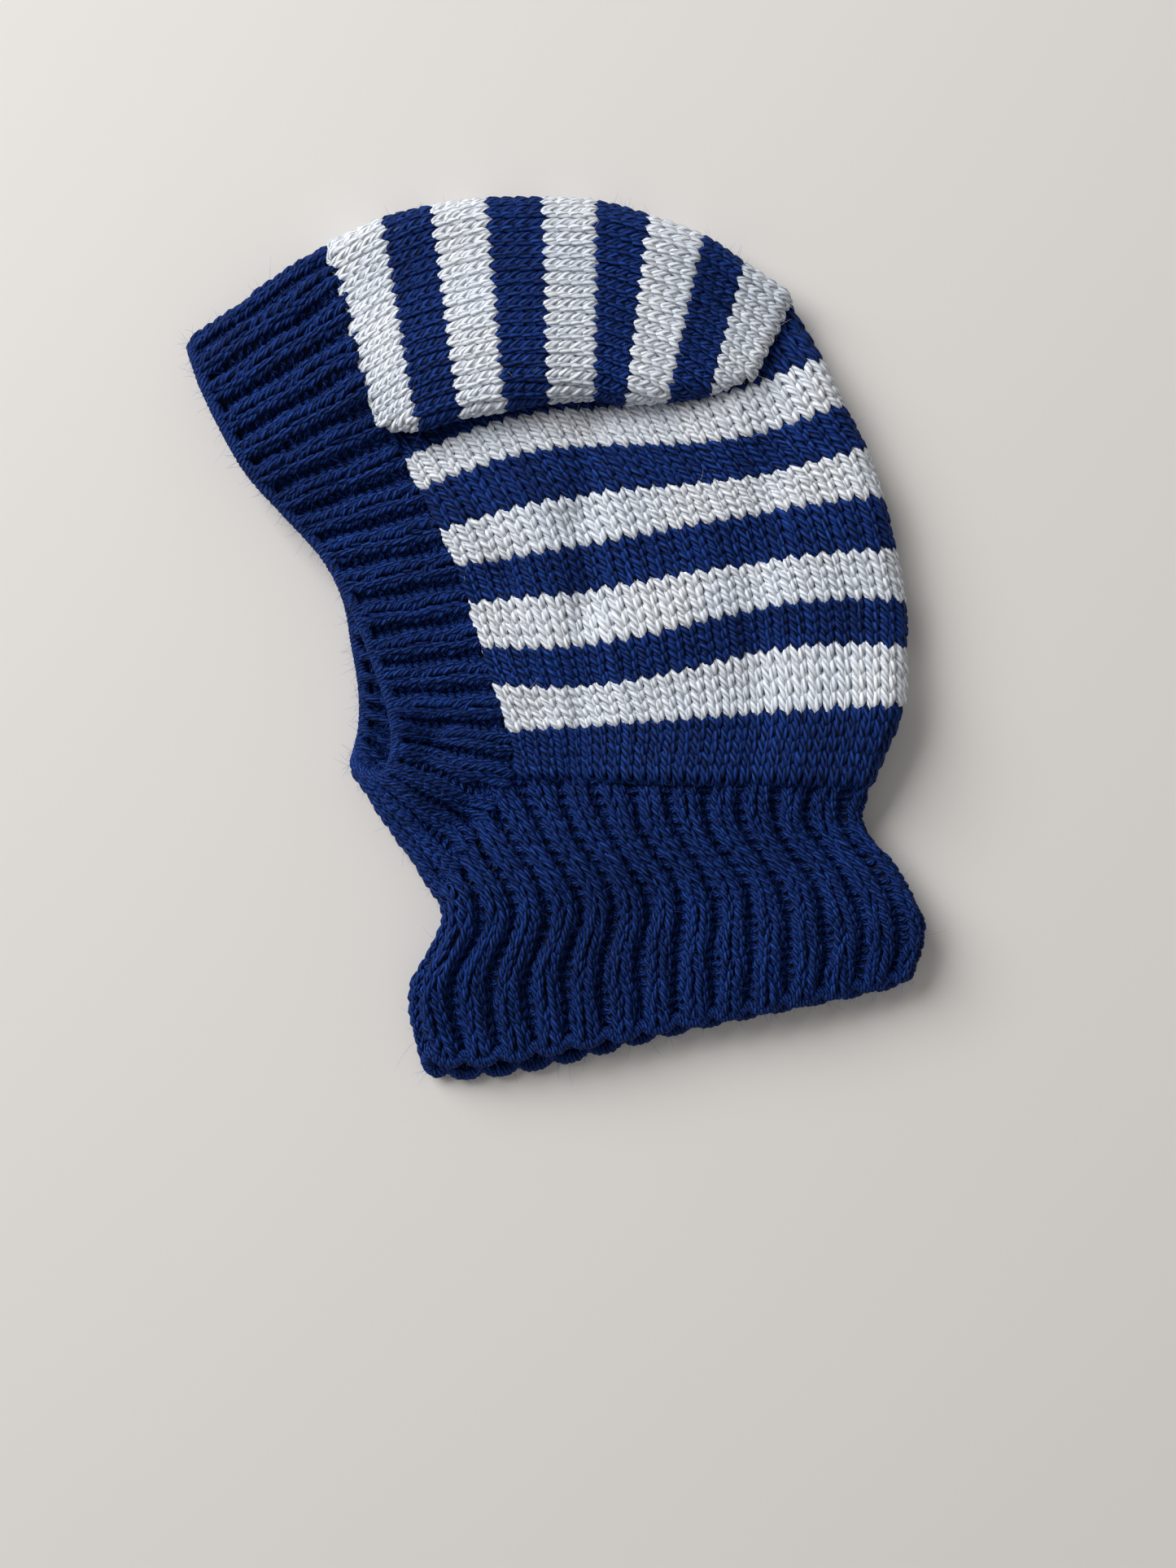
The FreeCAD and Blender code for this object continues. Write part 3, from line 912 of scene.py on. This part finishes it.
class BALACLAVA_OT_sides(bpy.types.Operator):
    """Knit the striped sides, round the back fold."""

    bl_idname = "balaclava.sides"
    bl_label = "Knit the sides"

    def execute(self, context):
        knit = context.scene.balaclava_knit
        paints = materials()
        colours = list(stripe_colours(SIDE_STRIPES, "blue"))
        for place, (colour, number) in enumerate(colours):
            name = f"side_stripe_{colour}_{number}"
            chance = random_for(name)
            bottom = SIDE_ROWS - ROWS_PER_STRIPE * (place + 1)
            start = -1 if bottom == 0 else 0
            courses = [
                knit_row(knit, side_fabric, -1, bottom + 0.5 + i, 0, SIDE_WALES, False, None, chance)
                for i in range(start, ROWS_PER_STRIPE)
            ]
            piece = yarn_piece(name + "_knit", courses, knit.radius * SIDE_YARN, paints[colour + "_wool"])
            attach(piece, "head")
            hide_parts(name)
        across = SIDE_WALES * GROUND_COLUMNS
        ground = ground_piece(
            "side_fabric", side_fabric, -1, across, [(0, SIDE_WALES)] * (SIDE_ROWS + 1), PLAIN_GROUND,
            None, [paints["blue_ground"], paints["white_ground"]],
        )
        paint_stripes(ground, across, SIDE_ROWS, [c for c, _ in reversed(colours)])
        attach(ground, "head")
        return {"FINISHED"}


def paint_stripes(ground, across, rows, colours):
    """Gives each stripe of a ground sheet its material; the grid's faces run along the rows."""
    faces = ground.data.polygons
    if len(faces) != across * rows:
        raise RuntimeError(ground.name + " lost faces, so its stripes can't be painted")
    row = np.arange(len(faces)) // across
    white = np.array([colour == "white" for colour in colours])
    faces.foreach_set("material_index", white[row // ROWS_PER_STRIPE].astype(np.int32))


# These stripes are knitted from a pale blue length of the white yarn; its darker tone is also painted
# shade, for the crown's roll lies less lit than the sides.
PALE_AND_SHADED_STRIPES = ("crown_stripe_white_3", "crown_stripe_white_5")


class BALACLAVA_OT_crown(bpy.types.Operator):
    """Knit the striped crown, which rolls over the top of the sides."""

    bl_idname = "balaclava.crown"
    bl_label = "Knit the crown"

    def execute(self, context):
        knit = context.scene.balaclava_knit
        paints = materials()
        colours = list(stripe_colours(CROWN_STRIPES, "white"))
        for place, (colour, number) in enumerate(colours):
            name = f"crown_stripe_{colour}_{number}"
            chance = random_for(name)
            courses = []
            for i in range(ROWS_PER_STRIPE):
                row = place * ROWS_PER_STRIPE + i + 0.5
                first, last = crown_span(row)
                courses.append(knit_row(knit, crown_fabric, 1, row, first, last, False, None, chance))
            # The pale yarn here is partly its own pale blue and partly painted shade on the crown.
            wool = "pale" if name in PALE_AND_SHADED_STRIPES else colour
            piece = yarn_piece(name + "_knit", courses, knit.radius, paints[wool + "_wool"])
            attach(piece, "head")
            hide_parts(name)
        spans = [crown_span(row) for row in range(CROWN_ROWS + 1)]
        ground = ground_piece(
            "crown_fabric", crown_fabric, 1, CROWN_COLUMNS, spans, PLAIN_GROUND, None,
            [paints["blue_ground"], paints["white_ground"]],
        )
        paint_stripes(ground, CROWN_COLUMNS, CROWN_ROWS, [c for c, _ in colours])
        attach(ground, "head")
        return {"FINISHED"}


class BALACLAVA_OT_neck(bpy.types.Operator):
    """Knit the two-by-two ribbed neck and its cast-off hem."""

    bl_idname = "balaclava.neck"
    bl_label = "Knit the neck"

    def execute(self, context):
        knit = context.scene.balaclava_knit
        paints = materials()
        names = ("neck_rib_hem", "neck_rib_low", "neck_rib_waist", "neck_rib_top")
        rows_each = NECK_ROWS // len(names)
        for place, name in enumerate(names):
            chance = random_for(name)
            courses = []
            for i in range(rows_each):
                row = place * rows_each + i + 0.5
                span = neck_span(row)
                first, last = span or (0, NECK_WALES)
                courses.append(
                    knit_row(knit, neck_fabric, -1, row, first, last, span is None, NECK_RIB, chance)
                )
            piece = yarn_piece(name + "_knit", courses, knit.radius * RIB_YARN, paints["blue_wool"])
            bends(piece)
        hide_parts("neck_rib")
        chain = cast_off(neck_fabric, -1, NECK_CHAIN_ROW, NECK_WALES)
        hem = yarn_piece("neck_edge_knit", chain, knit.radius * CAST_OFF_YARN, paints["blue_wool"])
        bends(hem)
        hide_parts("neck_edge")
        spans = [neck_span(row) or (0, NECK_WALES) for row in range(NECK_ROWS + 1)]
        ground = ground_piece(
            "neck_fabric", neck_fabric, -1, NECK_WALES * GROUND_COLUMNS, spans, RIB_GROUND, NECK_RIB,
            [paints["blue_ground"]],
        )
        bends(ground)
        return {"FINISHED"}


# Points in each turn of a strand that winds, and how far the cast-off strands stand from their middle.
STRAND_STEPS = 10
CHAIN_ROWS = 0.22
CHAIN_DEPTH = 0.0008
# The rows along which the cast-off edges lie.
NECK_CHAIN_ROW = -0.55
BAND_CHAIN_ROW = BAND_ROWS + 0.35


def cast_off(fabric, facing, row, wales):
    """The chain along a finished edge: two strands that wind round each other once a stitch."""
    wale = np.linspace(0, wales, STRAND_STEPS * wales, endpoint=False)
    courses = []
    for phase in (0, math.pi):
        turn = 2 * math.pi * wale + phase
        rows = np.full_like(wale, row) + CHAIN_ROWS * np.cos(turn)
        depth = CHAIN_DEPTH * np.sin(turn)
        points = fabric(wale, rows) + outward(fabric, wale, rows, facing) * depth[:, None]
        courses.append(Course(points, np.ones_like(wale), wales, True))
    return courses


class BALACLAVA_OT_band(bpy.types.Operator):
    """Knit the two-by-two ribbed band round the face and its cast-off edge."""

    bl_idname = "balaclava.band"
    bl_label = "Knit the face band"

    def execute(self, context):
        knit = context.scene.balaclava_knit
        paints = materials()
        for name, first_row, last_row in (
            ("face_band_inner", 0, 5),
            ("face_band_middle", 5, 9),
            ("face_band_outer", 9, BAND_ROWS),
        ):
            chance = random_for(name)
            courses = [
                knit_row(knit, band_fabric, -1, row + 0.5, 0, BAND_WALES, True, BAND_RIB, chance)
                for row in range(first_row, last_row)
            ]
            piece = yarn_piece(name + "_knit", courses, knit.radius * RIB_YARN, paints["blue_wool"])
            bends(piece)
        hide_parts("face_band")
        chain = cast_off(band_fabric, -1, BAND_CHAIN_ROW, BAND_WALES)
        edge = yarn_piece("face_band_edge_knit", chain, knit.radius * CAST_OFF_YARN, paints["blue_wool"])
        bends(edge)
        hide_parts("face_band_edge")
        spans = [(0, BAND_WALES)] * (BAND_ROWS + 1)
        ground = ground_piece(
            "face_band_fabric", band_fabric, -1, BAND_WALES * GROUND_COLUMNS, spans, RIB_GROUND,
            BAND_RIB, [paints["blue_ground"]],
        )
        bends(ground)
        return {"FINISHED"}


SEAM_PITCH = 0.004
SEAM_RADIUS = 0.0011
SEAM_FLATNESS = 0.6
# The crown's seams run between these wales of the side, counted from its front edge, at these levels.
CROWN_SEAM_SPAN = (1.35, 21.06)
CROWN_SEAM_POINTS = 60
CROWN_SEAM_LEVEL = 0.0155
CROWN_SEAM_LOWER_LEVEL = 0.0048
# The band's seams run from near the forehead to the start of the throat, this far inside the fabric.
BAND_SEAM_SPAN = (6, BAND_WALES / 2 - 22)
BAND_SEAM_POINTS = 80
BAND_SEAM_DEPTH = 0.0030
BAND_SEAM_LOWER_DEPTH = 0.0026


def whip_stitches(points, pitch, radius):
    """Yarn wound along a join: one line that circles the path once for each stitch."""
    lengths = np.concatenate([[0], np.cumsum(np.linalg.norm(np.diff(points, axis=0), axis=1))])
    turns = int(lengths[-1] / pitch)
    place = np.linspace(0, lengths[-1], turns * STRAND_STEPS + 1)
    centre = np.stack([np.interp(place, lengths, points[:, i]) for i in range(3)], axis=1)
    ahead = np.gradient(centre, axis=0)
    ahead /= np.linalg.norm(ahead, axis=1)[:, None]
    side = np.cross(ahead, (0, 0, 1))
    side /= np.linalg.norm(side, axis=1)[:, None]
    turn = place / pitch * 2 * math.pi
    upward = np.array((0, 0, SEAM_FLATNESS * radius))
    offset = side * np.cos(turn)[:, None] * radius + upward * np.sin(turn)[:, None]
    return [Course(centre + offset, np.ones(len(place)), turns, False)]


class BALACLAVA_OT_seams(bpy.types.Operator):
    """Sew the crown to the sides and pick up the band, on both layers."""

    bl_idname = "balaclava.seams"
    bl_label = "Sew the seams"

    def execute(self, context):
        knit = context.scene.balaclava_knit
        paints = materials()
        wales = np.linspace(*CROWN_SEAM_SPAN, CROWN_SEAM_POINTS)
        upper = side_fabric(SIDE_WALES - wales, np.full_like(wales, SIDE_ROWS - 0.6))
        upper[:, 2] = CROWN_SEAM_LEVEL
        lower = side_fabric(wales, np.full_like(wales, SIDE_ROWS + 0.2))
        lower[:, 2] = CROWN_SEAM_LOWER_LEVEL
        wales = np.linspace(*BAND_SEAM_SPAN, BAND_SEAM_POINTS)
        band_upper = band_fabric(wales, np.full_like(wales, -0.3))
        band_upper[:, 2] -= BAND_SEAM_DEPTH
        band_lower = band_fabric(BAND_WALES - wales, np.full_like(wales, -0.3))
        band_lower[:, 2] += BAND_SEAM_LOWER_DEPTH
        for name, points in (
            ("left_crown_seam", upper),
            ("right_crown_seam", lower),
            ("left_band_seam", band_upper),
            ("right_band_seam", band_lower),
        ):
            stitches = whip_stitches(points, SEAM_PITCH, SEAM_RADIUS)
            piece = yarn_piece(name + "_stitches", stitches, knit.radius * SEAM_YARN, paints["blue_wool"])
            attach(piece, "head")
            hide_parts(name)
        return {"FINISHED"}


# Each fuzz piece: its name, how the names of the yarn it rises from start, how many fibres each of
# those gets, and the body it rides on, or None where its transform is only baked.
FUZZ = (
    ("fuzz_crown", "crown_stripe_", 300, "head"),
    ("fuzz_sides", "side_stripe_", 260, "head"),
    ("fuzz_neck", "neck_", 900, None),
    ("fuzz_band", "face_band_", 1000, None),
)
# White yarn shows its fibres less, so it gets one for this many of the blue.
WHITE_FUZZ_SHARE = 3
FIBRE_RADIUS = 0.00003
FIBRE_LENGTHS = (0.0018, 0.0052)
FIBRE_SLANT = 0.45
FIBRE_CURL = 0.35
FIBRE_TAPER = (1.0, 0.9, 0.7, 0.3)
FIBRE_CLEARANCE = 0.0003


class BALACLAVA_OT_fuzz(bpy.types.Operator):
    """Raise loose fibres from the yarn."""

    bl_idname = "balaclava.fuzz"
    bl_label = "Raise the fuzz"

    def execute(self, context):
        paints = materials()
        for name, start, count, body in FUZZ:
            for colour in ("blue", "white"):
                sources = [
                    o
                    for o in bpy.context.scene.objects
                    if o.name.startswith(start) and o.name.endswith("_knit") and wool_colour(o) == colour
                ]
                if not sources:
                    continue
                chance = random_for(name + colour)
                number = count if colour == "blue" else count // WHITE_FUZZ_SHARE
                courses = []
                for source in sorted(sources, key=lambda o: o.name):
                    courses += fibres(source, number, chance)
                paint = paints[colour + "_fuzz"]
                piece = yarn_piece(f"{name}_{colour}", courses, FIBRE_RADIUS, paint, sides=0)
                if body:
                    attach(piece, body)
                else:
                    bends(piece)
        return {"FINISHED"}


def wool_colour(piece):
    """Which yarn a knitted piece is made of."""
    return "blue" if piece.data.materials[0].name == "blue_wool" else "white"


def fibres(source, count, chance):
    """Short curved fibres that start on a yarn piece and stand away from it."""
    mesh = source.data
    places = np.zeros(len(mesh.vertices) * 3)
    mesh.vertices.foreach_get("co", places)
    places = places.reshape(-1, 3)
    normals = np.zeros(len(mesh.vertices) * 3)
    mesh.vertex_normals.foreach_get("vector", normals)
    normals = normals.reshape(-1, 3)
    chosen = chance.integers(0, len(places), count)
    courses = []
    for i in chosen:
        drift = chance.normal(0, 1, 3)
        heading = normals[i] + FIBRE_SLANT * drift
        heading /= np.linalg.norm(heading)
        length = chance.uniform(*FIBRE_LENGTHS)
        curl = chance.normal(0, FIBRE_CURL, 3) * length
        share = np.linspace(0, 1, len(FIBRE_TAPER))[:, None]
        points = places[i] + heading * length * share + curl * share**2
        points[:, 2] = np.maximum(points[:, 2], FIBRE_CLEARANCE)
        courses.append(Course(points, np.array(FIBRE_TAPER), 1, False))
    return courses


# ---------------------------------------------------------------- stage


FLOOR_REACH = 3
KEY_PLACE = (-1.4, 1.15, 1.4)
KEY_SIZE = 1.6
SENSOR_HEIGHT = 24.0
# What the camera takes in from its lowest to its highest edge, and the height it takes that at.
VIEW_HEIGHT = 0.462
VIEW_LEVEL = 0.015
VIEW_CENTRE = (0.0091, -0.0434)


class BALACLAVA_OT_stage(bpy.types.Operator):
    """Lay the floor, light it and place the camera."""

    bl_idname = "balaclava.stage"
    bl_label = "Set the stage"

    def execute(self, context):
        scene = context.scene
        stage = scene.balaclava_stage
        mesh = bpy.data.meshes.new("floor")
        shape = bmesh.new()
        bmesh.ops.create_grid(shape, x_segments=1, y_segments=1, size=FLOOR_REACH)
        shape.to_mesh(mesh)
        shape.free()
        floor = bpy.data.objects.new("floor", mesh)
        tint = tuple(stage.floor)
        mesh.materials.append(floor_material(tint, shaded(tint, 0.97)))
        scene.collection.objects.link(floor)
        key = area_light("key_light", KEY_PLACE, KEY_SIZE, stage.key_power)
        world = bpy.data.worlds.new("soft_room")
        world.use_nodes = True
        light = world.node_tree.nodes["Background"]
        light.inputs["Color"].default_value = (1.0, 0.985, 0.97, 1)
        light.inputs["Strength"].default_value = stage.sky
        scene.world = world
        scene.view_settings.view_transform = "Standard"
        data = bpy.data.cameras.new("camera")
        data.sensor_fit = "VERTICAL"
        data.sensor_height = SENSOR_HEIGHT
        data.lens = SENSOR_HEIGHT * (stage.camera_distance - VIEW_LEVEL) / VIEW_HEIGHT
        camera = bpy.data.objects.new("camera", data)
        camera.location = (*VIEW_CENTRE, stage.camera_distance)
        scene.collection.objects.link(camera)
        scene.camera = camera
        return {"FINISHED"}


def area_light(name, place, size, power):
    """A square soft light that looks at the middle of the floor."""
    data = bpy.data.lights.new(name, "AREA")
    data.size = size
    data.energy = power
    light = bpy.data.objects.new(name, data)
    light.location = place
    light.rotation_euler = (-Vector(place)).to_track_quat("-Z", "Y").to_euler()
    bpy.context.scene.collection.objects.link(light)
    return light


class BALACLAVA_PT_panel(bpy.types.Panel):
    """Lists the balaclava's pieces and settings."""

    bl_idname = "BALACLAVA_PT_panel"
    bl_label = "Knitted Balaclava"
    bl_space_type = "VIEW_3D"
    bl_region_type = "UI"
    bl_category = "Balaclava"

    def draw(self, context):
        scene = context.scene
        for group in (scene.balaclava_knit, scene.balaclava_colours, scene.balaclava_stage):
            for name in group.bl_rna.properties.keys():
                if name not in ("rna_type", "name"):
                    self.layout.prop(group, name)
        for operator in OPERATORS:
            self.layout.operator(operator.bl_idname)


OPERATORS = (
    BALACLAVA_OT_stage,
    BALACLAVA_OT_sides,
    BALACLAVA_OT_crown,
    BALACLAVA_OT_neck,
    BALACLAVA_OT_band,
    BALACLAVA_OT_seams,
    BALACLAVA_OT_fuzz,
)
GROUPS = (KnitSettings, YarnColours, StageSettings)
CLASSES = (*GROUPS, *OPERATORS, BALACLAVA_PT_panel)


def register():
    for item in CLASSES:
        bpy.utils.register_class(item)
    bpy.types.Scene.balaclava_knit = PointerProperty(type=KnitSettings)
    bpy.types.Scene.balaclava_colours = PointerProperty(type=YarnColours)
    bpy.types.Scene.balaclava_stage = PointerProperty(type=StageSettings)


def unregister():
    del bpy.types.Scene.balaclava_stage
    del bpy.types.Scene.balaclava_colours
    del bpy.types.Scene.balaclava_knit
    for item in reversed(CLASSES):
        bpy.utils.unregister_class(item)


def main():
    register()
    bpy.ops.balaclava.stage()
    bpy.ops.balaclava.sides()
    bpy.ops.balaclava.crown()
    bpy.ops.balaclava.neck()
    bpy.ops.balaclava.band()
    bpy.ops.balaclava.seams()
    bpy.ops.balaclava.fuzz()


if __name__ == "__main__":
    main()
